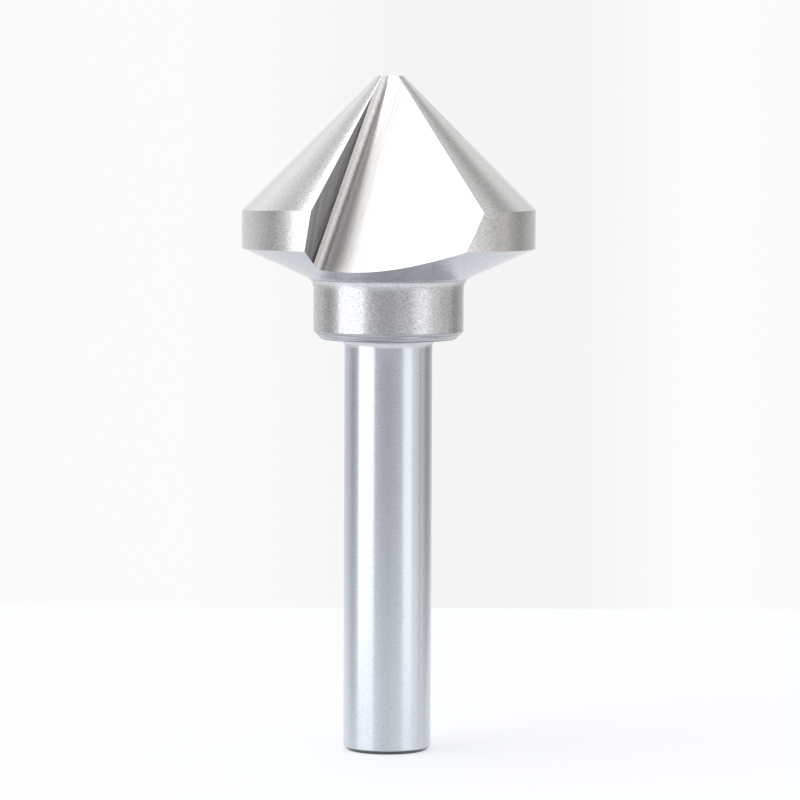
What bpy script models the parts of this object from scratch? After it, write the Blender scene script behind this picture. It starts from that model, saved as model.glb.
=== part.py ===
"""Chamfer milling cutter, ground from one bar of hardened high-speed steel.

A 90 degree cone with three flutes sits above a cylindrical band, a back taper, a collar and a
plain round shank. The cutter stands on the end of its shank, with its axis on Z.
"""

import math

import bmesh
import bpy
from mathutils import Matrix, Vector

MM = 0.001

# Shank and collar
SHANK_DIAMETER = 12.0 * MM
SHANK_LENGTH = 56.3 * MM
END_CHAMFER = 0.6 * MM
NECK_RADIUS = 1.0 * MM
COLLAR_DIAMETER = 20.5 * MM
COLLAR_LENGTH = 6.9 * MM
COLLAR_CHAMFER = 1.15 * MM
COLLAR_CORNER_RADIUS = 0.5 * MM

# Cutting head
HEAD_DIAMETER = 40.0 * MM
BAND_LENGTH = 5.4 * MM
TAPER_ANGLE = math.radians(24.0)
TAPER_BLEND_RADIUS = 1.8 * MM
POINT_ANGLE = math.radians(90.0)
TIP_DIAMETER = 3.9 * MM
RELIEF_ANGLE = math.radians(0.85)

# Flutes, each a straight V groove with a rounded root that leaves the axis on its way down
FLUTE_BEARINGS = (math.radians(-131.8), math.radians(-11.8), math.radians(102.2))
FLUTE_ROOT_OFFSET = 0.74 * MM
FLUTE_ROOT_SLOPE = math.radians(27.2)
FLUTE_ROOT_RADIUS = 0.5 * MM
RAKE_FACE_LEAN = math.radians(23.8)
FLUTE_OPENING = math.radians(83.7)
FLUTE_OVERRUN = 8.0 * MM

# Fineness of the round forms
TURN_STEPS = 120
ARC_STEP = math.radians(11.0)

# Ground high-speed steel
STEEL_COLOUR = (0.62, 0.62, 0.63, 1.0)
STEEL_ROUGHNESS = 0.25

# Heights and radii that follow from the sizes above
shank_radius = SHANK_DIAMETER / 2
collar_radius = COLLAR_DIAMETER / 2
head_radius = HEAD_DIAMETER / 2
tip_radius = TIP_DIAMETER / 2
collar_top = SHANK_LENGTH + COLLAR_LENGTH
taper_foot = Vector((
    collar_radius + TAPER_BLEND_RADIUS * (1 - math.sin(TAPER_ANGLE)),
    collar_top + TAPER_BLEND_RADIUS * math.cos(TAPER_ANGLE),
))
band_foot = taper_foot.y + (head_radius - taper_foot.x) * math.tan(TAPER_ANGLE)
band_top = band_foot + BAND_LENGTH
tip_height = band_top + (head_radius - tip_radius) / math.tan(POINT_ANGLE / 2)


def clear_scene():
    for old in list(bpy.data.objects):
        bpy.data.objects.remove(old)


def new_collection(name):
    collection = bpy.data.collections.new(name)
    bpy.context.scene.collection.children.link(collection)
    return collection


def arc(centre, radius, start, end):
    """Points of an arc in the profile's plane, both ends included."""
    count = max(2, round(abs(end - start) / ARC_STEP))
    points = []
    for i in range(count + 1):
        angle = start + (end - start) * i / count
        points.append(Vector(centre) + radius * Vector((math.cos(angle), math.sin(angle))))
    return points


def blank_profile():
    """Half section of the turned blank as (radius, height), from the tip down to the shank end."""
    points = [Vector((0, tip_height)), Vector((tip_radius, tip_height))]
    points += [Vector((head_radius, band_top)), Vector((head_radius, band_foot))]

    blend_centre = (collar_radius + TAPER_BLEND_RADIUS, collar_top)
    points += arc(blend_centre, TAPER_BLEND_RADIUS, math.pi / 2 + TAPER_ANGLE, math.pi)

    points.append(Vector((collar_radius, SHANK_LENGTH + COLLAR_CHAMFER)))
    corner_inset = COLLAR_CHAMFER + COLLAR_CORNER_RADIUS * math.tan(math.pi / 8)
    corner_centre = (collar_radius - corner_inset, SHANK_LENGTH + COLLAR_CORNER_RADIUS)
    points += arc(corner_centre, COLLAR_CORNER_RADIUS, -math.pi / 4, -math.pi / 2)

    neck_centre = (shank_radius + NECK_RADIUS, SHANK_LENGTH - NECK_RADIUS)
    points += arc(neck_centre, NECK_RADIUS, math.pi / 2, math.pi)

    points += [Vector((shank_radius, END_CHAMFER)), Vector((shank_radius - END_CHAMFER, 0))]
    points.append(Vector((0, 0)))
    return points


def turned_mesh(name, profile):
    """The profile swept once round Z."""
    section = bpy.data.meshes.new(name + "_section")
    corners = [(point.x, 0, point.y) for point in profile]
    edges = [(i, i + 1) for i in range(len(corners) - 1)]
    section.from_pydata(corners, edges, [])
    turned = bpy.data.objects.new(name + "_section", section)
    bpy.context.scene.collection.objects.link(turned)

    screw = turned.modifiers.new("Turning", "SCREW")
    screw.steps = TURN_STEPS
    screw.render_steps = TURN_STEPS
    screw.use_merge_vertices = True
    screw.merge_threshold = 0.005 * MM

    evaluated = turned.evaluated_get(bpy.context.evaluated_depsgraph_get())
    mesh = bpy.data.meshes.new_from_object(evaluated)
    bpy.data.objects.remove(turned)
    mesh.name = name
    return mesh


def flute_frame(bearing):
    """Place of a flute: X out of its root, Y towards the open side, Z up along the root."""
    outward = Vector((math.cos(bearing), math.sin(bearing), 0))
    across = Vector((-math.sin(bearing), math.cos(bearing), 0))
    up = Vector((0, 0, 1))
    along = up * math.cos(FLUTE_ROOT_SLOPE) - outward * math.sin(FLUTE_ROOT_SLOPE)
    facing = up * math.sin(FLUTE_ROOT_SLOPE) + outward * math.cos(FLUTE_ROOT_SLOPE)
    frame = Matrix((facing, across, along)).transposed().to_4x4()
    frame.translation = outward * FLUTE_ROOT_OFFSET + up * tip_height
    return frame


def flute_face_bearing(frame, face_angle, height):
    """Bearing at which a flute face leaves the head's full diameter at the given height."""
    in_section = Vector((math.cos(face_angle), math.sin(face_angle), 0))
    normal = frame.to_3x3() @ Vector((-in_section.y, in_section.x, 0))
    distance = normal.dot(frame.translation) - normal.z * height
    middle = math.atan2(normal.y, normal.x)
    half = math.acos(distance / (head_radius * math.hypot(normal.x, normal.y)))
    ends = [Vector((math.cos(middle + side * half), math.sin(middle + side * half), 0)) for side in (-1, 1)]
    run = frame.to_3x3() @ in_section
    outer = max(ends, key=lambda end: end.dot(run))
    return math.atan2(outer.y, outer.x)


def relieve_lands(mesh):
    """Let the cone of each land fall away behind its cutting edge, down to its heel."""
    edge_bearings = []
    for bearing in FLUTE_BEARINGS:
        frame = flute_frame(bearing)
        edge_bearings.append(flute_face_bearing(frame, RAKE_FACE_LEAN, band_top))
    heel = flute_face_bearing(frame, RAKE_FACE_LEAN + FLUTE_OPENING, band_top)
    flute_span = (heel - edge_bearings[-1]) % math.tau
    fall_per_radian = head_radius * math.tan(RELIEF_ANGLE)
    tip_inset = math.tan(POINT_ANGLE / 2)

    for vertex in mesh.vertices:
        radius = math.hypot(vertex.co.x, vertex.co.y)
        on_tip_rim = vertex.co.z > band_top + TIP_DIAMETER and radius > tip_radius / 2
        on_band_rim = abs(vertex.co.z - band_top) < BAND_LENGTH / 2
        if not (on_tip_rim or on_band_rim):
            continue
        bearing = math.atan2(vertex.co.y, vertex.co.x)
        behind = min((edge - bearing) % math.tau for edge in edge_bearings)
        ahead = min((bearing - edge) % math.tau for edge in edge_bearings)
        fall = fall_per_radian * behind if ahead > flute_span / 2 else 0
        if on_band_rim:
            vertex.co.z -= fall
        else:
            vertex.co.xy *= 1 - fall * tip_inset / radius


def flute_section():
    """Outline of the groove across its root, wide enough to clear the head."""
    reach = HEAD_DIAMETER + FLUTE_OVERRUN
    back_angle = RAKE_FACE_LEAN + FLUTE_OPENING
    middle = (RAKE_FACE_LEAN + back_angle) / 2
    root_distance = FLUTE_ROOT_RADIUS / math.sin(FLUTE_OPENING / 2)
    root_centre = root_distance * Vector((math.cos(middle), math.sin(middle)))
    root = arc(root_centre, FLUTE_ROOT_RADIUS, back_angle + math.pi / 2, RAKE_FACE_LEAN + 3 * math.pi / 2)
    rake_end = reach * Vector((math.cos(RAKE_FACE_LEAN), math.sin(RAKE_FACE_LEAN)))
    outer_corner = 1.5 * reach * Vector((math.cos(middle), math.sin(middle)))
    back_end = reach * Vector((math.cos(back_angle), math.sin(back_angle)))
    return root + [rake_end, outer_corner, back_end]


def flute_cutter(name, bearing, collection):
    """Solid that the grinding wheel takes out of the head for one flute."""
    length = (tip_height - collar_top) / math.cos(FLUTE_ROOT_SLOPE) + FLUTE_OVERRUN
    form = bmesh.new()
    corners = [form.verts.new((point.x, point.y, FLUTE_OVERRUN)) for point in flute_section()]
    section = form.faces.new(corners)
    sweep = bmesh.ops.extrude_face_region(form, geom=[section])
    swept = [item for item in sweep["geom"] if isinstance(item, bmesh.types.BMVert)]
    bmesh.ops.translate(form, verts=swept, vec=(0, 0, -length - FLUTE_OVERRUN))
    bmesh.ops.recalc_face_normals(form, faces=form.faces)
    mesh = bpy.data.meshes.new(name)
    form.to_mesh(mesh)
    form.free()

    cutter = bpy.data.objects.new(name, mesh)
    cutter.matrix_world = flute_frame(bearing)
    cutter.hide_render = True
    cutter.display_type = "WIRE"
    collection.objects.link(cutter)
    return cutter


def steel_material():
    steel = bpy.data.materials.new("ground_high_speed_steel")
    steel.use_nodes = True
    surface = steel.node_tree.nodes["Principled BSDF"]
    surface.inputs["Base Color"].default_value = STEEL_COLOUR
    surface.inputs["Metallic"].default_value = 1.0
    surface.inputs["Roughness"].default_value = STEEL_ROUGHNESS
    return steel


def build_cutter():
    parts = new_collection("chamfer_milling_cutter")
    cutters = new_collection("flute_grinding")

    blank = turned_mesh("cutter_body", blank_profile())
    relieve_lands(blank)
    blank.materials.append(steel_material())
    body = bpy.data.objects.new("cutter_body", blank)
    parts.objects.link(body)

    for number, bearing in enumerate(FLUTE_BEARINGS, start=1):
        cutter = flute_cutter(f"flute_{number}", bearing, cutters)
        grind = body.modifiers.new(f"Flute {number}", "BOOLEAN")
        grind.operation = "DIFFERENCE"
        grind.solver = "EXACT"
        grind.object = cutter

    blank.shade_smooth()
    blank.set_sharp_from_angle(angle=math.radians(20))


clear_scene()
build_cutter()
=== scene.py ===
"""Chamfer milling cutter of ground high-speed steel, standing on the end of its shank."""

import math

import bmesh
import bpy
from mathutils import Matrix, Vector


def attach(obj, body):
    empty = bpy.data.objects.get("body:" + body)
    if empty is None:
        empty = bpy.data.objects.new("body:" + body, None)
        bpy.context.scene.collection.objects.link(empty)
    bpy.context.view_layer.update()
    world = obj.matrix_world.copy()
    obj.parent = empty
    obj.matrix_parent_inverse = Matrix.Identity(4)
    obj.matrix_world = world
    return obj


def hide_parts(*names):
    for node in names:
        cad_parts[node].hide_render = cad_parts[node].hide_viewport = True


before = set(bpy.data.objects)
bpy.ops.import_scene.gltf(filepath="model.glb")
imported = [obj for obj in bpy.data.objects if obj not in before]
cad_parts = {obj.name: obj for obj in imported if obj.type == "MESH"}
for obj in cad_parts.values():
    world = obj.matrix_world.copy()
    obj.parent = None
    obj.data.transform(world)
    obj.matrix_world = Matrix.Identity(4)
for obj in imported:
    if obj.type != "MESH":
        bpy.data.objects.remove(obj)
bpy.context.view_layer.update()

# The camera stands a little over half a metre from the tool, just below the height of its tip,
# and looks slightly down. A long lens keeps the outline almost parallel.
CAMERA_DISTANCE = 0.5589
CAMERA_HEIGHT = 0.0848
CAMERA_LENS = 184.5
LOOK_DOWN = math.radians(3.767)
LOOK_ASIDE = math.radians(0.166)
LEAN = math.radians(0.228)

viewpoint = bpy.data.objects.new("viewpoint", bpy.data.cameras.new("viewpoint"))
viewpoint.data.sensor_width = 36.0
viewpoint.data.lens = CAMERA_LENS
viewpoint.data.clip_start = 0.01
viewpoint.data.clip_end = 20.0
viewpoint.matrix_world = (
    Matrix.Translation((0, -CAMERA_DISTANCE, CAMERA_HEIGHT))
    @ Matrix.Rotation(-LOOK_ASIDE, 4, "Z")
    @ Matrix.Rotation(math.pi / 2 - LOOK_DOWN, 4, "X")
    @ Matrix.Rotation(LEAN, 4, "Z")
)
bpy.context.scene.collection.objects.link(viewpoint)
bpy.context.scene.camera = viewpoint
bpy.context.scene.view_settings.view_transform = "Standard"


# The tool stands on a small table of smooth white laminate, whose back edge shows behind it.
# Shader maths is written with wires: one output of a node, which takes + - * / with numbers
# and with other wires.
TABLE_BACK = 0.166
TABLE_FRONT = -0.37
TABLE_SIDE = 0.10
TABLE_WHITE = (0.84, 0.85, 0.87, 1.0)
TABLE_ROUGHNESS = 0.7
TABLE_SHINE = 0.2
TABLE_GLOW = (0.99, 1.01, 1.055, 1.0)
GLOW_SHARE = 0.65


class Wire:
    """One output of a shader node. Sums and products with wires or numbers add Math nodes."""

    def __init__(self, tree, socket):
        self.tree = tree
        self.socket = socket

    @classmethod
    def node(cls, tree, kind, settings=None, sockets=None, output=0):
        """Any node: its settings or a ramp's stops first, then the values or wires of its sockets."""
        made = tree.nodes.new(kind)
        for name, value in (settings or {}).items():
            if name == "stops":
                ramp = made.color_ramp.elements
                while len(ramp) < len(value):
                    ramp.new(0.5)
                for stop, (position, tone) in zip(ramp, value):
                    stop.position = position
                    stop.color = tone if isinstance(tone, tuple) else (tone, tone, tone, 1.0)
            else:
                setattr(made, name, value)
        for name, value in (sockets or {}).items():
            if isinstance(value, Wire):
                tree.links.new(value.socket, made.inputs[name])
            else:
                made.inputs[name].default_value = value
        return cls(tree, made.outputs[output])

    def maths(self, operation, first, second):
        return self.node(self.tree, "ShaderNodeMath", {"operation": operation}, {0: first, 1: second})

    def __add__(self, other):
        return self.maths("ADD", self, other)

    def __radd__(self, other):
        return self.maths("ADD", other, self)

    def __sub__(self, other):
        return self.maths("SUBTRACT", self, other)

    def __rsub__(self, other):
        return self.maths("SUBTRACT", other, self)

    def __mul__(self, other):
        return self.maths("MULTIPLY", self, other)

    def __rmul__(self, other):
        return self.maths("MULTIPLY", other, self)

    def __truediv__(self, other):
        return self.maths("DIVIDE", self, other)

    def __rtruediv__(self, other):
        return self.maths("DIVIDE", other, self)

    def larger(self, other):
        return self.maths("MAXIMUM", self, other)

    def smooth(self, low, high):
        """0 below low, 1 above high, and a soft step between them."""
        span = {"Value": self, "From Min": low, "From Max": high}
        return self.node(self.tree, "ShaderNodeMapRange", {"interpolation_type": "SMOOTHSTEP"}, span)

    def stretched(self, along_x, along_y, along_z):
        """A place multiplied by one number for each axis."""
        factors = {0: self, 1: (along_x, along_y, along_z)}
        return self.node(self.tree, "ShaderNodeVectorMath", {"operation": "MULTIPLY"}, factors)

    def towards(self, direction):
        """How far a place or direction lies along a fixed direction."""
        pair = {0: self, 1: direction}
        return self.node(self.tree, "ShaderNodeVectorMath", {"operation": "DOT_PRODUCT"}, pair, "Value")

    def feed(self, shader, name):
        self.tree.links.new(self.socket, shader.inputs[name])


laminate = bpy.data.materials.new("white_laminate")
laminate.use_nodes = True
laminate_tree = laminate.node_tree
laminate_surface = laminate_tree.nodes["Principled BSDF"]
laminate_surface.inputs["Base Color"].default_value = TABLE_WHITE
laminate_surface.inputs["Roughness"].default_value = TABLE_ROUGHNESS
laminate_surface.inputs["Specular IOR Level"].default_value = TABLE_SHINE
ray = laminate_tree.nodes.new("ShaderNodeLightPath")
looked_at = Wire(laminate_tree, ray.outputs["Is Camera Ray"])
mirrored = Wire(laminate_tree, ray.outputs["Is Glossy Ray"])
seen_through = Wire(laminate_tree, ray.outputs["Is Transmission Ray"])
seen = looked_at.larger(mirrored.larger(seen_through))
glow = Wire.node(laminate_tree, "ShaderNodeEmission", None, {"Color": TABLE_GLOW, "Strength": 1.0})
paled = Wire.node(laminate_tree, "ShaderNodeMixShader", None, {
    "Fac": seen * GLOW_SHARE,
    1: Wire(laminate_tree, laminate_surface.outputs["BSDF"]),
    2: glow,
})
paled.feed(laminate_tree.nodes["Material Output"], "Surface")

table_mesh = bpy.data.meshes.new("table_top")
table_corners = [
    (-TABLE_SIDE, TABLE_FRONT, 0),
    (TABLE_SIDE, TABLE_FRONT, 0),
    (TABLE_SIDE, TABLE_BACK, 0),
    (-TABLE_SIDE, TABLE_BACK, 0),
]
table_mesh.from_pydata(table_corners, [], [(0, 1, 2, 3)])
table_mesh.materials.append(laminate)
table = bpy.data.objects.new("table_top", table_mesh)
bpy.context.scene.collection.objects.link(table)


# The room is a white studio with a pale floor. Its walls are greyer behind the camera, and
# narrow dark flags stand on the left and right. Tones of the walls, low down and high up, go
# by bearing in degrees, from the camera's side (0) to the right (+90).
LOW_WALLS = (
    (-180, 0.91),
    (-179, 0.93),
    (-178, 0.965),
    (-172, 0.96),
    (-166, 0.90),
    (-150, 0.84),
    (-135, 0.82),
    (-122, 0.70),
    (-112, 0.32),
    (-107, 0.15),
    (-100, 0.16),
    (-89, 0.65),
    (-34, 0.43),
    (22, 0.29),
    (46, 1.04),
    (66, 1.17),
    (79, 1.13),
    (90, 0.68),
    (95, 0.22),
    (98.5, 0.38),
    (101.5, 1.36),
    (104.5, 0.38),
    (112, 0.34),
    (117, 0.20),
    (121, 0.22),
    (128, 0.39),
    (140, 0.58),
    (160, 0.72),
    (170, 0.92),
    (176, 0.975),
    (177.3, 0.905),
    (180, 0.91),
)
HIGH_WALLS = (
    (-180, 0.95),
    (-170, 1.15),
    (-164, 1.10),
    (-158, 1.08),
    (-150, 1.22),
    (-140, 1.02),
    (-133, 0.75),
    (-126, 0.70),
    (-100, 0.80),
    (-45, 1.15),
    (-27, 1.15),
    (-20, 0.25),
    (-11, 0.10),
    (6, 0.06),
    (10, 0.28),
    (14, 0.84),
    (20, 0.95),
    (36, 0.90),
    (60, 0.65),
    (110, 0.88),
    (128, 0.98),
    (133, 0.76),
    (136.5, 0.44),
    (141.5, 0.49),
    (145, 0.80),
    (149.5, 0.95),
    (160, 0.96),
    (180, 0.94),
)
WALL_TINTS = (
    (-180, (1.0, 1.0, 1.0, 1.0)),
    (80, (1.0, 1.0, 1.0, 1.0)),
    (96, (1.0, 0.98, 0.955, 1.0)),
    (164, (1.0, 0.985, 0.965, 1.0)),
    (173, (1.0, 1.0, 1.0, 1.0)),
)
LOW_TO_HIGH = (0.12, 0.42)
CEILING_TONE = 0.95
CEILING_BEGINS = (0.68, 0.80)
CEILING_ENDS_IN_FRONT = (0.1, 0.35)
FLOOR_TONE = 0.9
FLOOR_TO_WALL = (-0.14, -0.03)
FLOOR_ENDS_BEHIND = (-0.75, -0.35)

room = bpy.data.worlds.new("white_studio")
bpy.context.scene.world = room
room.use_nodes = True
room_tree = room.node_tree
looking = Wire.node(room_tree, "ShaderNodeTexCoord", output="Generated")
rightward = looking.towards((1, 0, 0))
frontward = looking.towards((0, -1, 0))
upward = looking.towards((0, 0, 1))
turn_share = rightward.maths("ARCTAN2", rightward, frontward) / math.tau + 0.5


def round_the_room(tones):
    """A ramp of tones or tints by bearing, read along the direction looked in."""
    stops = [((bearing + 180) / 360, tone) for bearing, tone in tones]
    return Wire.node(room_tree, "ShaderNodeValToRGB", {"stops": stops}, {"Fac": turn_share})


low_tone = Wire.node(room_tree, "ShaderNodeRGBToBW", None, {"Color": round_the_room(LOW_WALLS)})
high_tone = Wire.node(room_tree, "ShaderNodeRGBToBW", None, {"Color": round_the_room(HIGH_WALLS)})
overhead = upward.smooth(*CEILING_BEGINS) * (1.0 - frontward.smooth(*CEILING_ENDS_IN_FRONT))
underfoot = (1.0 - upward.smooth(*FLOOR_TO_WALL)) * frontward.smooth(*FLOOR_ENDS_BEHIND)
wall = low_tone + upward.smooth(*LOW_TO_HIGH) * (high_tone - low_tone)
wall_or_floor = wall + underfoot * (FLOOR_TONE - wall)
room_tone = wall_or_floor + overhead * (CEILING_TONE - wall_or_floor)
background = room_tree.nodes["Background"]
round_the_room(WALL_TINTS).feed(background, "Color")
room_tone.feed(background, "Strength")


# Three softboxes light the tool. A tall one on the left and a dimmer one on the right hang
# beside the table and reach below its top; the third hangs overhead on the left, facing down.
# Each row gives the place, where the back points, the size, the brightness and the tint.
SOFTBOXES = {
    "left_softbox": ((-0.78, -0.45, 0.36), (-0.78, -0.45, 0), (0.79, 1.77), 1.20, (0.965, 0.99, 1.04)),
    "right_softbox": ((0.80, -0.60, 0.30), (0.80, -0.60, 0), (0.45, 1.08), 0.60, (0.98, 0.99, 1.01)),
    "overhead_softbox": ((-0.50, -0.015, 0.90), (0, 0, 1), (0.95, 0.67), 1.6, (1.0, 1.0, 1.0)),
}

for name, (place, back, (width, height), brightness, tint) in SOFTBOXES.items():
    softbox = bpy.data.lights.new(name, "AREA")
    softbox.shape = "RECTANGLE"
    softbox.size = width
    softbox.size_y = height
    softbox.energy = brightness * math.pi * width * height
    softbox.color = tint
    hung = bpy.data.objects.new(name, softbox)
    hung.location = place
    hung.rotation_euler = Vector(back).to_track_quat("Z", "Y").to_euler()
    hung.visible_camera = False
    bpy.context.scene.collection.objects.link(hung)


# The tool starts as a bar of high-speed steel, turned to this half section, hardened and then
# ground between centres. Each stretch of the section has its own finish, whose grain runs
# round the tool. The shank is painted a little paler towards its foot, painted light standing
# in for light thrown up by the table.
MM = 0.001
MICRON = 0.000001
SHANK_RADIUS = 6.0 * MM
SHANK_LENGTH = 56.3 * MM
END_CHAMFER = 0.6 * MM
NECK_RADIUS = 1.0 * MM
COLLAR_RADIUS = 10.25 * MM
COLLAR_LENGTH = 6.9 * MM
COLLAR_CHAMFER = 1.15 * MM
COLLAR_CORNER_RADIUS = 0.5 * MM
HEAD_RADIUS = 20.0 * MM
BAND_LENGTH = 5.4 * MM
TAPER_ANGLE = math.radians(24.0)
TAPER_BLEND_RADIUS = 1.8 * MM
TIP_RADIUS = 1.95 * MM
TIP_CENTRE_RADIUS = 0.3 * TIP_RADIUS
FOOT_CENTRE_RADIUS = 0.4 * SHANK_RADIUS
COLLAR_GRIND_ENDS = 141
UNDERSIDE_BEGINS = -52
TURN_STEPS = 360

BRIGHTEST_TONE = 1.3
QUARTER_TURN = 0.25
GRAIN_CONTRAST = (0.34, 0.66)
GRAIN_ROUGHNESS = 0.04
CLOUD_STRETCH = (160, 160, 240)
CLOUD_TONE = 0.04
CLOUD_ROUGHNESS = 0.05
PIT_STRETCH = (450, 450, 450)
PIT_RIM = (0.03, 0.06)
PIT_DARKNESS = 0.35
RING_BLUR = 0.08 * MM
PAINTED_FOOT_LIGHT_SPAN = (8 * MM, 45 * MM)


def shaded(tree, tone, colour):
    """The colour times a tone that varies over the surface, from 0 to the brightest one."""
    brightest = tuple(min(1.0, BRIGHTEST_TONE * part) for part in colour) + (1.0,)
    stops = [(0.0, (0.0, 0.0, 0.0, 1.0)), (1.0, brightest)]
    return Wire.node(tree, "ShaderNodeValToRGB", {"stops": stops}, {"Fac": tone / BRIGHTEST_TONE})


def ground_steel(name, colour, roughness, anisotropy, grain, tone_share, depth, ring=None, painted_foot_light=0.0):
    """Steel ground on centres: noise pulled out round the tool gives tone, gloss and grain.

    A ring is a line round the tool between two heights with its own tone: painted shade where
    the tone is below 1, a painted highlight where it is above. A painted foot light is the share
    by which the steel is painted lighter towards the foot, standing in for light from the table.
    """
    steel = bpy.data.materials.new(name)
    steel.use_nodes = True
    tree = steel.node_tree
    surface = tree.nodes["Principled BSDF"]
    surface.inputs["Metallic"].default_value = 1.0
    surface.inputs["Anisotropic"].default_value = anisotropy
    surface.inputs["Anisotropic Rotation"].default_value = QUARTER_TURN
    place = Wire.node(tree, "ShaderNodeTexCoord", output="Object")
    length, height = grain
    grains = Wire.node(tree, "ShaderNodeTexNoise", None, {
        "Vector": place.stretched(1 / length, 1 / length, 1 / height),
        "Scale": 1.0,
        "Detail": 1.0,
        "Roughness": 0.5,
    })
    speckle = grains.smooth(*GRAIN_CONTRAST)
    clouds = Wire.node(tree, "ShaderNodeTexNoise", None, {
        "Vector": place.stretched(*CLOUD_STRETCH),
        "Scale": 1.0,
        "Detail": 2.0,
    })
    pits = Wire.node(tree, "ShaderNodeTexVoronoi", None, {
        "Vector": place.stretched(*PIT_STRETCH),
        "Scale": 1.0,
    })
    tone = 1.0 + tone_share * 2.0 * (speckle - 0.5) + CLOUD_TONE * (clouds - 0.5)
    tone = tone - PIT_DARKNESS * (1.0 - pits.smooth(*PIT_RIM))
    # A ring paints a line round the tool: painted shade below 1, a painted highlight above 1.
    if ring:
        low, high, shade = ring
        level = place.towards((0, 0, 1))
        in_painted_ring = level.smooth(low - RING_BLUR, low) * (1.0 - level.smooth(high, high + RING_BLUR))
        tone = tone * (1.0 - (1.0 - shade) * in_painted_ring)
    # Painted light: the steel is painted paler towards the foot, standing in for light thrown up by the
    # table.
    if painted_foot_light:
        near_foot = 1.0 - place.towards((0, 0, 1)).smooth(*PAINTED_FOOT_LIGHT_SPAN)
        tone = tone * (1.0 + painted_foot_light * near_foot)
    shaded(tree, tone, colour).feed(surface, "Base Color")
    uneven = roughness + GRAIN_ROUGHNESS * (speckle - 0.5) + CLOUD_ROUGHNESS * (clouds - 0.5)
    uneven.feed(surface, "Roughness")
    raised = Wire.node(tree, "ShaderNodeBump", None, {"Height": grains, "Distance": depth, "Strength": 1.0})
    raised.feed(surface, "Normal")
    return steel


finishes = {
    "tip": ground_steel(
        "tip_ground", (0.62, 0.62, 0.615), roughness=0.3, anisotropy=0.0,
        grain=(0.3 * MM, 0.3 * MM), tone_share=0.06, depth=3 * MICRON,
    ),
    "cone": ground_steel(
        "land_ground", (0.62, 0.62, 0.62), roughness=0.155, anisotropy=0.5,
        grain=(0.35 * MM, 0.12 * MM), tone_share=0.08, depth=12 * MICRON,
    ),
    "band": ground_steel(
        "band_ground", (0.63, 0.625, 0.615), roughness=0.30, anisotropy=0.84,
        grain=(0.36 * MM, 0.09 * MM), tone_share=0.17, depth=26 * MICRON,
    ),
    "taper": ground_steel(
        "taper_ground", (0.50, 0.52, 0.55), roughness=0.15, anisotropy=0.8,
        grain=(0.7 * MM, 0.12 * MM), tone_share=0.08, depth=40 * MICRON,
        # The ring is painted shade: a darker line on the blend just above the collar.
        ring=(64.36 * MM, 64.54 * MM, 0.8),
    ),
    "collar": ground_steel(
        "collar_ground", (0.572, 0.578, 0.588), roughness=0.30, anisotropy=0.9,
        grain=(0.38 * MM, 0.09 * MM), tone_share=0.22, depth=24 * MICRON,
        # The ring is a painted highlight: a bright line at the top of the collar's blend.
        ring=(63.9 * MM, 64.4 * MM, 1.2),
    ),
    "chamfer": ground_steel(
        "chamfer_turned", (0.41, 0.425, 0.445), roughness=0.26, anisotropy=0.8,
        grain=(5 * MM, 0.12 * MM), tone_share=0.3, depth=6 * MICRON,
    ),
    # The underside's very dark colour is painted shade under the collar.
    "underside": ground_steel(
        "underside_turned_painted_shade", (0.19, 0.20, 0.21), roughness=0.28, anisotropy=0.8,
        grain=(5 * MM, 0.12 * MM), tone_share=0.3, depth=4 * MICRON,
    ),
    "neck": ground_steel(
        "neck_turned", (0.64, 0.66, 0.69), roughness=0.28, anisotropy=0.8,
        grain=(1.2 * MM, 0.12 * MM), tone_share=0.08, depth=3 * MICRON,
    ),
    # The shank is painted paler towards its foot, painted light standing in for light from the table.
    "shank": ground_steel(
        "shank_ground", (0.585, 0.615, 0.655), roughness=0.275, anisotropy=0.85,
        grain=(0.4 * MM, 0.12 * MM), tone_share=0.04, depth=2 * MICRON, painted_foot_light=0.15,
    ),
    "foot": ground_steel(
        "foot_turned", (0.56, 0.58, 0.61), roughness=0.3, anisotropy=0.6,
        grain=(0.5 * MM, 0.13 * MM), tone_share=0.1, depth=6 * MICRON,
        # The ring is painted shade: the end face and the lower part of the end chamfer are a fifth of the
        # steel's tone, a painted contact shadow.
        ring=(-1 * MM, 0.44 * MM, 0.2),
    ),
}
finish_order = list(finishes)


def straight(start, end, pieces):
    """Points of a straight stretch of the section, without its start."""
    return [Vector(start).lerp(Vector(end), i / pieces) for i in range(1, pieces + 1)]


def bend(centre, radius, start, end, pieces):
    """Points of an arc from one angle in degrees to another, without its start."""
    turns = [math.radians(start + (end - start) * i / pieces) for i in range(1, pieces + 1)]
    return [Vector(centre) + radius * Vector((math.cos(turn), math.sin(turn))) for turn in turns]


collar_top = SHANK_LENGTH + COLLAR_LENGTH
taper_foot_radius = COLLAR_RADIUS + TAPER_BLEND_RADIUS * (1 - math.sin(TAPER_ANGLE))
taper_foot_height = collar_top + TAPER_BLEND_RADIUS * math.cos(TAPER_ANGLE)
band_foot = taper_foot_height + (HEAD_RADIUS - taper_foot_radius) * math.tan(TAPER_ANGLE)
band_top = band_foot + BAND_LENGTH
tip_height = band_top + HEAD_RADIUS - TIP_RADIUS
chamfer_top = SHANK_LENGTH + COLLAR_CHAMFER
corner_inset = COLLAR_CHAMFER + COLLAR_CORNER_RADIUS * math.tan(math.pi / 8)
corner_centre = (COLLAR_RADIUS - corner_inset, SHANK_LENGTH + COLLAR_CORNER_RADIUS)
corner_start = Vector(corner_centre) + COLLAR_CORNER_RADIUS * Vector((math.sqrt(0.5), -math.sqrt(0.5)))
blend_centre = (COLLAR_RADIUS + TAPER_BLEND_RADIUS, collar_top)
blend_start = 90 + math.degrees(TAPER_ANGLE)
neck_centre = (SHANK_RADIUS + NECK_RADIUS, SHANK_LENGTH - NECK_RADIUS)
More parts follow.
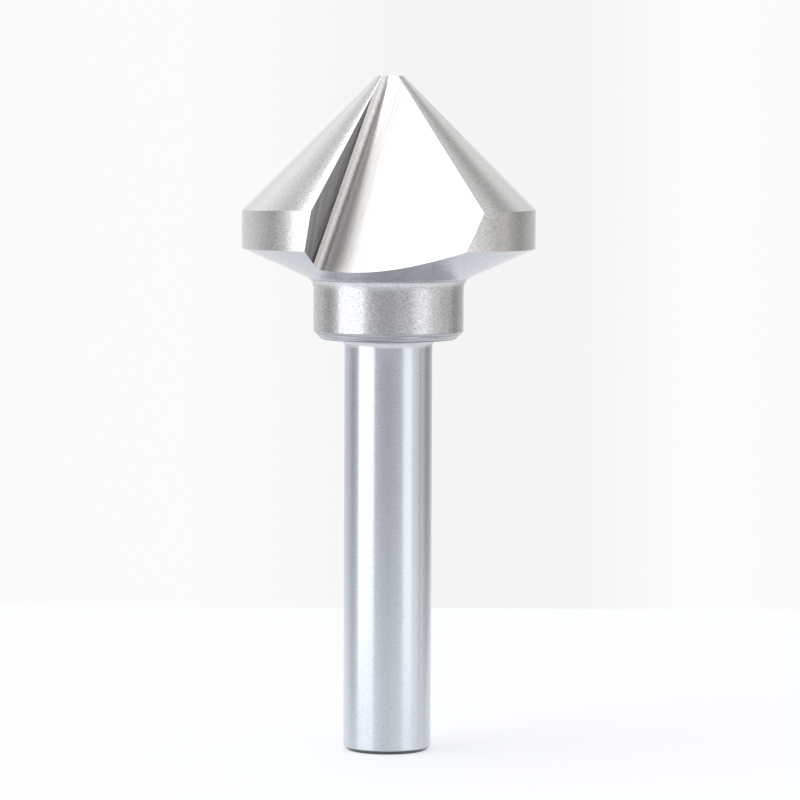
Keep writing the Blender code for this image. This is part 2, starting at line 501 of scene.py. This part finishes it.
stretches = [
    ("tip", straight((TIP_CENTRE_RADIUS, tip_height), (TIP_RADIUS, tip_height), 2)),
    ("cone", straight((TIP_RADIUS, tip_height), (HEAD_RADIUS, band_top), 18)),
    ("band", straight((HEAD_RADIUS, band_top), (HEAD_RADIUS, band_foot), 5)),
    ("taper", straight((HEAD_RADIUS, band_foot), (taper_foot_radius, taper_foot_height), 10)),
    ("taper", bend(blend_centre, TAPER_BLEND_RADIUS, blend_start, COLLAR_GRIND_ENDS, 5)),
    ("collar", bend(blend_centre, TAPER_BLEND_RADIUS, COLLAR_GRIND_ENDS, 180, 8)),
    ("collar", straight((COLLAR_RADIUS, collar_top), (COLLAR_RADIUS, chamfer_top), 5)),
    ("chamfer", straight((COLLAR_RADIUS, chamfer_top), corner_start, 2)),
    ("chamfer", bend(corner_centre, COLLAR_CORNER_RADIUS, -45, UNDERSIDE_BEGINS, 2)),
    ("underside", bend(corner_centre, COLLAR_CORNER_RADIUS, UNDERSIDE_BEGINS, -90, 5)),
    ("underside", straight((corner_centre[0], SHANK_LENGTH), (neck_centre[0], SHANK_LENGTH), 2)),
    ("neck", bend(neck_centre, NECK_RADIUS, 90, 180, 10)),
    ("shank", straight((SHANK_RADIUS, neck_centre[1]), (SHANK_RADIUS, END_CHAMFER), 16)),
    ("foot", straight((SHANK_RADIUS, END_CHAMFER), (SHANK_RADIUS - END_CHAMFER, 0), 2)),
    ("foot", straight((SHANK_RADIUS - END_CHAMFER, 0), (FOOT_CENTRE_RADIUS, 0), 2)),
]

blank = bmesh.new()
rings = []
ring_finish = []


def add_ring(radius, height):
    ring = []
    for step in range(TURN_STEPS):
        turn = math.tau * step / TURN_STEPS
        ring.append(blank.verts.new((radius * math.cos(turn), radius * math.sin(turn), height)))
    rings.append(ring)


add_ring(TIP_CENTRE_RADIUS, tip_height)
for finish, points in stretches:
    for point in points:
        add_ring(point.x, point.y)
        ring_finish.append(finish_order.index(finish))
for upper, lower, finish in zip(rings, rings[1:], ring_finish):
    for step in range(TURN_STEPS):
        after = (step + 1) % TURN_STEPS
        side = blank.faces.new((upper[step], lower[step], lower[after], upper[after]))
        side.material_index = finish
blank.faces.new(rings[0]).material_index = finish_order.index("tip")
blank.faces.new(reversed(rings[-1])).material_index = finish_order.index("foot")


# Three flutes are ground along straight lines that leave the axis on their way down. Behind
# each cutting edge the land of the cone falls away by a small relief angle, down to the heel.
# The flutes are polished, with faint lines that the wheel left along their length. Their roots
# carry a painted highlight and painted shade, their backs painted shade beside the root, and
# the rake faces a dark colour that is painted shade.
RELIEF_ANGLE = math.radians(0.85)
FLUTE_BEARINGS = [math.radians(bearing) for bearing in (-131.8, -11.8, 102.2)]
FLUTE_ROOT_OFFSET = 0.74 * MM
FLUTE_ROOT_SLOPE = math.radians(27.2)
FLUTE_ROOT_RADIUS = 0.5 * MM
FLUTE_ROOT_STEPS = 16
RAKE_FACE_LEAN = math.radians(23.8)
FLUTE_OPENING = math.radians(83.7)
ROOT_BESIDE_RAKE = 1.7 * MM
WHEEL_REACH = 48.0 * MM
WHEEL_CORNER_REACH = 1.5 * WHEEL_REACH
WHEEL_ABOVE_TIP = 8 * MM
WHEEL_BELOW_TIP = 42 * MM
JUST_BELOW_CONE = 1.001
INSIDE_TIP_RIM = 0.9 * TIP_RADIUS

FLUTE_LINES_PER_METRE = 250
ROOT_GRAINS_PER_METRE = 2200
LINE_ROUGHNESS = 0.08
# The root's tones are painted: painted shade along the line of the root, painted light beside it and
# towards the tip.
ROOT_PAINTED_SHADE = 0.81
ROOT_RIM_PAINTED_LIGHT = 0.24
ROOT_RIM = (0.35 * MM, 0.75 * MM)
ROOT_TIP_PAINTED_LIGHT = 0.25
ROOT_NEAR_TIP = (74 * MM, 90 * MM)
ROOT_DISH_DEPTH = 0.3 * MM
ROOT_DISH_SPANS = ((0.26 * MM, 0.86 * MM), (0.5 * MM, 2.5 * MM))
BACK_CROWDING = 0.13
BACK_CROWDING_PER_METRE = 12.5
BACK_HOLLOW_DEPTH = 0.5 * MM
BACK_HOLLOW_SPAN = (0.5 * MM, 6 * MM)
# The back's darker tone close to the root is painted shade.
BACK_PAINTED_SHADE_AT_ROOT = 0.68
BACK_RIM_GAIN = 0.37
BACK_RIM = (0.66 * MM, 0.98 * MM)
BACK_GLOSS_AT_ROOT = 0.14
BACK_GLOSS_SPAN = (1 * MM, 2.5 * MM)
RAKE_RINGS_PER_METRE = 800
RAKE_RING_TONE = 0.6
RAKE_RINGS_BEGIN = (13 * MM, 17 * MM)


def flute_frame(bearing):
    """Place of a flute: X out of its root, Y towards the open side, Z up along the root."""
    outward = Vector((math.cos(bearing), math.sin(bearing), 0))
    across = Vector((-math.sin(bearing), math.cos(bearing), 0))
    up = Vector((0, 0, 1))
    along = up * math.cos(FLUTE_ROOT_SLOPE) - outward * math.sin(FLUTE_ROOT_SLOPE)
    facing = up * math.sin(FLUTE_ROOT_SLOPE) + outward * math.cos(FLUTE_ROOT_SLOPE)
    placed = Matrix((facing, across, along)).transposed().to_4x4()
    placed.translation = outward * FLUTE_ROOT_OFFSET + up * tip_height
    return placed


def leaving_bearing(placed, face_angle):
    """Bearing at which a flute face leaves the full diameter at the top of the band."""
    in_section = Vector((math.cos(face_angle), math.sin(face_angle), 0))
    normal = placed.to_3x3() @ Vector((-in_section.y, in_section.x, 0))
    distance = normal.dot(placed.translation) - normal.z * band_top
    middle = math.atan2(normal.y, normal.x)
    half = math.acos(distance / (HEAD_RADIUS * math.hypot(normal.x, normal.y)))
    run = placed.to_3x3() @ in_section
    turns = [middle - half, middle + half]
    ends = [Vector((math.cos(turn), math.sin(turn), 0)) for turn in turns]
    outer = max(ends, key=lambda end: end.dot(run))
    return math.atan2(outer.y, outer.x)


back_angle = RAKE_FACE_LEAN + FLUTE_OPENING
edges = [leaving_bearing(flute_frame(bearing), RAKE_FACE_LEAN) for bearing in FLUTE_BEARINGS]
heel = leaving_bearing(flute_frame(FLUTE_BEARINGS[-1]), back_angle)
flute_span = (heel - edges[-1]) % math.tau
cone_length = tip_height - band_top
for vertex in blank.verts:
    down = (tip_height - vertex.co.z) / cone_length
    if down > JUST_BELOW_CONE or vertex.co.xy.length < INSIDE_TIP_RIM:
        continue
    bearing = math.atan2(vertex.co.y, vertex.co.x)
    behind = min((edge - bearing) % math.tau for edge in edges)
    ahead = min((bearing - edge) % math.tau for edge in edges)
    fall = HEAD_RADIUS * math.tan(RELIEF_ANGLE) * behind if ahead > flute_span / 2 else 0
    radius = TIP_RADIUS - fall + down * (HEAD_RADIUS - TIP_RADIUS + fall)
    vertex.co.xy = vertex.co.xy.normalized() * radius
    vertex.co.z = tip_height - down * (cone_length + fall)

bmesh.ops.recalc_face_normals(blank, faces=blank.faces)
body_mesh = bpy.data.meshes.new("cutter_steel")
blank.to_mesh(body_mesh)
blank.free()
for finish in finish_order:
    body_mesh.materials.append(finishes[finish])
body = bpy.data.objects.new("cutter_steel", body_mesh)
bpy.context.scene.collection.objects.link(body)


def from_root(place, placed, face_angle):
    """Distance from the line of a flute's root, measured along one of its faces."""
    run = placed.col[0].xyz * math.cos(face_angle) + placed.col[1].xyz * math.sin(face_angle)
    return place.towards(tuple(run)) - placed.translation.dot(run)


def flute_steel(number, placed, part, colour, roughness, line_width, tone_share, depth):
    """Polished steel of one part of a flute, with faint lines along it.

    The root has a short, coarse grain instead; its tone is painted, with painted shade along
    the line of the root and painted light beside it and towards the tip. The back looks faintly
    hollow beside the root, in a strip that narrows towards the tip, and is painted darker close
    to the root as painted shade. The outer part of the rake face shows fine rings.
    """
    steel = bpy.data.materials.new(f"flute_{part}_{number}")
    steel.use_nodes = True
    tree = steel.node_tree
    surface = tree.nodes["Principled BSDF"]
    surface.inputs["Metallic"].default_value = 1.0
    place = Wire.node(tree, "ShaderNodeTexCoord", output="Object")
    out, across, along = (placed.col[i].xyz for i in range(3))
    per_metre = ROOT_GRAINS_PER_METRE if part == "root" else FLUTE_LINES_PER_METRE
    in_flute = Wire.node(tree, "ShaderNodeCombineXYZ", None, {
        "X": place.towards(tuple(out)) / line_width,
        "Y": place.towards(tuple(across)) / line_width,
        "Z": place.towards(tuple(along)) * per_metre,
    })
    lines = Wire.node(tree, "ShaderNodeTexNoise", None, {"Vector": in_flute, "Scale": 1.0, "Detail": 2.0})
    tone = 1.0 + tone_share * 2.0 * (lines - 0.5)
    uneven = roughness + LINE_ROUGHNESS * (lines - 0.5)
    relief = lines * depth
    if part == "root":
        beside = from_root(place, placed, RAKE_FACE_LEAN)
        # Painted shade along the root's line, painted light beside it and towards the tip.
        height = place.towards((0, 0, 1))
        tone = tone * (ROOT_PAINTED_SHADE + ROOT_RIM_PAINTED_LIGHT * beside.smooth(*ROOT_RIM))
        tone = tone * (1.0 + ROOT_TIP_PAINTED_LIGHT * height.smooth(*ROOT_NEAR_TIP))
        for span in ROOT_DISH_SPANS:
            relief = relief - beside.smooth(*span) * ROOT_DISH_DEPTH
    if part == "back":
        crowding = BACK_CROWDING + BACK_CROWDING_PER_METRE * place.towards((0, 0, 1))
        beside = from_root(place, placed, back_angle) * crowding
        relief = relief - beside.smooth(*BACK_HOLLOW_SPAN) * BACK_HOLLOW_DEPTH / crowding
        # Painted shade on the back close to the root.
        tone = tone * (BACK_PAINTED_SHADE_AT_ROOT + BACK_RIM_GAIN * beside.smooth(*BACK_RIM))
        uneven = uneven - BACK_GLOSS_AT_ROOT * (1.0 - beside.smooth(*BACK_GLOSS_SPAN))
    if part == "rake":
        flat = {0: place.stretched(1, 1, 0)}
        reach = Wire.node(tree, "ShaderNodeVectorMath", {"operation": "LENGTH"}, flat, "Value")
        spaced = {"W": reach * RAKE_RINGS_PER_METRE, "Scale": 1.0}
        fine_rings = Wire.node(tree, "ShaderNodeTexNoise", {"noise_dimensions": "1D"}, spaced)
        tone = tone * (1.0 + RAKE_RING_TONE * reach.smooth(*RAKE_RINGS_BEGIN) * (fine_rings - 0.5))
    shaded(tree, tone, colour).feed(surface, "Base Color")
    uneven.feed(surface, "Roughness")
    raised = Wire.node(tree, "ShaderNodeBump", None, {"Height": relief, "Distance": 1.0, "Strength": 1.0})
    raised.feed(surface, "Normal")
    return steel


# Colour, roughness, width of the lines, their share in the tone and their depth.
FLUTE_FINISHES = {
    # The root's light colour is a painted highlight, and the rake's dark colour is painted shade inside the
    # flute.
    "root": ((0.78, 0.755, 0.75), 0.46, 0.22 * MM, 0.45, 8 * MICRON),
    "rake": ((0.395, 0.395, 0.41), 0.10, 0.25 * MM, 0.06, 3 * MICRON),
    "back": ((0.68, 0.66, 0.64), 0.28, 0.26 * MM, 0.05, 14 * MICRON),
}
flute_parts = list(FLUTE_FINISHES)

middle_angle = RAKE_FACE_LEAN + FLUTE_OPENING / 2
middle_run = Vector((math.cos(middle_angle), math.sin(middle_angle)))
rake_run = Vector((math.cos(RAKE_FACE_LEAN), math.sin(RAKE_FACE_LEAN)))
back_run = Vector((math.cos(back_angle), math.sin(back_angle)))
root_centre = FLUTE_ROOT_RADIUS / math.sin(FLUTE_OPENING / 2) * middle_run
root_start = math.degrees(back_angle) + 90
root_end = math.degrees(RAKE_FACE_LEAN) + 270
root_first = root_centre + FLUTE_ROOT_RADIUS * Vector((
    math.cos(math.radians(root_start)),
    math.sin(math.radians(root_start)),
))
wall_start = FLUTE_ROOT_RADIUS / math.tan(FLUTE_OPENING / 2)
section = [root_first] + bend(root_centre, FLUTE_ROOT_RADIUS, root_start, root_end, FLUTE_ROOT_STEPS)
section.append((wall_start + ROOT_BESIDE_RAKE) * rake_run)
root_faces = len(section) - 1
section.append(WHEEL_REACH * rake_run)
section.append(WHEEL_CORNER_REACH * middle_run)
section.append(WHEEL_REACH * back_run)
count = len(section)
top = [(point.x, point.y, WHEEL_ABOVE_TIP) for point in section]
bottom = [(point.x, point.y, -WHEEL_BELOW_TIP) for point in section]
sides = [(i, (i + 1) % count, count + (i + 1) % count, count + i) for i in range(count)]
caps = [tuple(range(count)), tuple(reversed(range(count, 2 * count)))]

wheels = []
for number, bearing in enumerate(FLUTE_BEARINGS, start=1):
    placed = flute_frame(bearing)
    wheel_mesh = bpy.data.meshes.new(f"flute_{number}")
    wheel_mesh.from_pydata(top + bottom, [], sides + caps)
    for side in range(count):
        part = "root" if side < root_faces else "rake" if side == root_faces else "back"
        wheel_mesh.polygons[side].material_index = flute_parts.index(part)
    wheel_mesh.transform(placed)
    form = bmesh.new()
    form.from_mesh(wheel_mesh)
    bmesh.ops.recalc_face_normals(form, faces=form.faces)
    form.to_mesh(wheel_mesh)
    form.free()
    for part in flute_parts:
        wheel_mesh.materials.append(flute_steel(number, placed, part, *FLUTE_FINISHES[part]))
    wheel = bpy.data.objects.new(f"flute_{number}", wheel_mesh)
    bpy.context.scene.collection.objects.link(wheel)
    wheels.append(wheel)
    grind = body.modifiers.new(f"flute_{number}", "BOOLEAN")
    grind.operation = "DIFFERENCE"
    grind.solver = "EXACT"
    grind.material_mode = "TRANSFER"
    grind.object = wheel


# The finished tool is one piece of steel. Head, collar and shank come from the same bar, with
# nothing fitted to it and no joint. The edges stay sharp, as they are ground.
SHARP_EDGE = math.radians(20)

ground = body.evaluated_get(bpy.context.evaluated_depsgraph_get())
finished_mesh = bpy.data.meshes.new_from_object(ground)
finished_mesh.name = "cutter_steel"
body.modifiers.clear()
body.data = finished_mesh
for wheel in wheels:
    bpy.data.objects.remove(wheel)
finished_mesh.shade_smooth()
finished_mesh.set_sharp_from_angle(angle=SHARP_EDGE)
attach(body, "root")
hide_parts("cutter_body")
